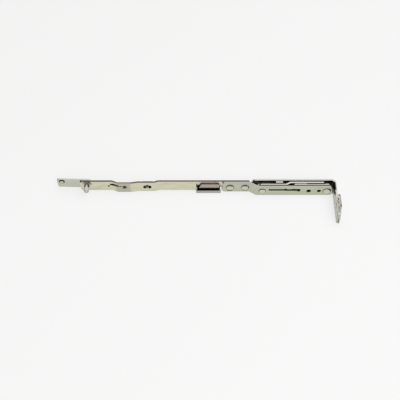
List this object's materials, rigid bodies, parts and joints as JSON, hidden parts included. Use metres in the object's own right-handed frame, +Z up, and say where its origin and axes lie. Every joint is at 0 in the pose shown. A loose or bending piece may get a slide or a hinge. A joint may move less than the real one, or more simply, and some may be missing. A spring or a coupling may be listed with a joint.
{
  "type": "tilt-turn window stay",
  "caption": "Flat zinc-plated window stay: folded hinge bracket, guide link, cranked riveted arm with slide tongue, roller stud and screw ear.",
  "frame": {"origin": "middle of the outline, on the surface that the long edges stand on", "axes": "+X along the stay towards the hinge leg, +Y away from the sash, +Z up across the strips"},
  "size_m": [0.2996, 0.0484, 0.0226],
  "materials": {
    "zinc_strip": "zinc plated, yellow passivated strip steel",
    "zinc_catch": "zinc plated, warm tinted",
    "bright_rivet": "zinc plated rivet steel, bright",
    "turned_steel": "turned and zinc plated",
    "spring_steel": "blank spring steel"
  },
  "bodies": {
    "hinge_bracket": {"bracket_plate": "zinc_strip", "screw_ear": "zinc_strip", "ear_rivets": "bright_rivet", "distance_button": "bright_rivet", "rear_locating_stud": "bright_rivet", "base_pivot_rivet": "bright_rivet"},
    "guide_link": {"guide_link": "zinc_strip", "arm_pivot_rivet": "bright_rivet"},
    "stay_arm": {"front_plate": "zinc_strip", "lug_rivet": "bright_rivet", "long_bar": "zinc_strip", "catch_pocket": "zinc_catch", "joint_rivet_left": "bright_rivet", "joint_rivet_right": "bright_rivet", "detent_spring": "spring_steel", "spring_rivet": "bright_rivet"},
    "frame_lug": {"frame_lug": "zinc_strip"},
    "slide_tongue": {"slide_tongue": "zinc_strip", "end_button": "bright_rivet", "locking_stud": "turned_steel", "stud_cap": "turned_steel", "guide_pin": "turned_steel", "guide_collar": "turned_steel"},
    "stud_roller": {"stud_roller": "turned_steel"}
  },
  "joints": [
    {"name": "link_swing", "type": "hinge", "parent": "hinge_bracket", "child": "guide_link", "pos_m": [0.12467, 0.01985, 0.008], "axis": [0, 1, 0], "range_deg": [0, 80]},
    {"name": "arm_swing", "type": "hinge", "parent": "guide_link", "child": "stay_arm", "pos_m": [0.06988, 0.01415, 0.008], "axis": [0, 1, 0], "range_deg": [-96, 0]},
    {"name": "lug_swing", "type": "hinge", "parent": "stay_arm", "child": "frame_lug", "pos_m": [0.13903, 0.01535, 0.008], "axis": [0, 1, 0], "range_deg": [0, 35]},
    {"name": "tongue_slide", "type": "slide", "parent": "stay_arm", "child": "slide_tongue", "axis": [1, 0, 0], "range_m": [-0.0021, 0.0021]},
    {"name": "roller_spin", "type": "hinge", "parent": "slide_tongue", "child": "stud_roller", "pos_m": [-0.11793, 0.01335, 0.011], "axis": [0, 1, 0], "continuous": true}
  ]
}
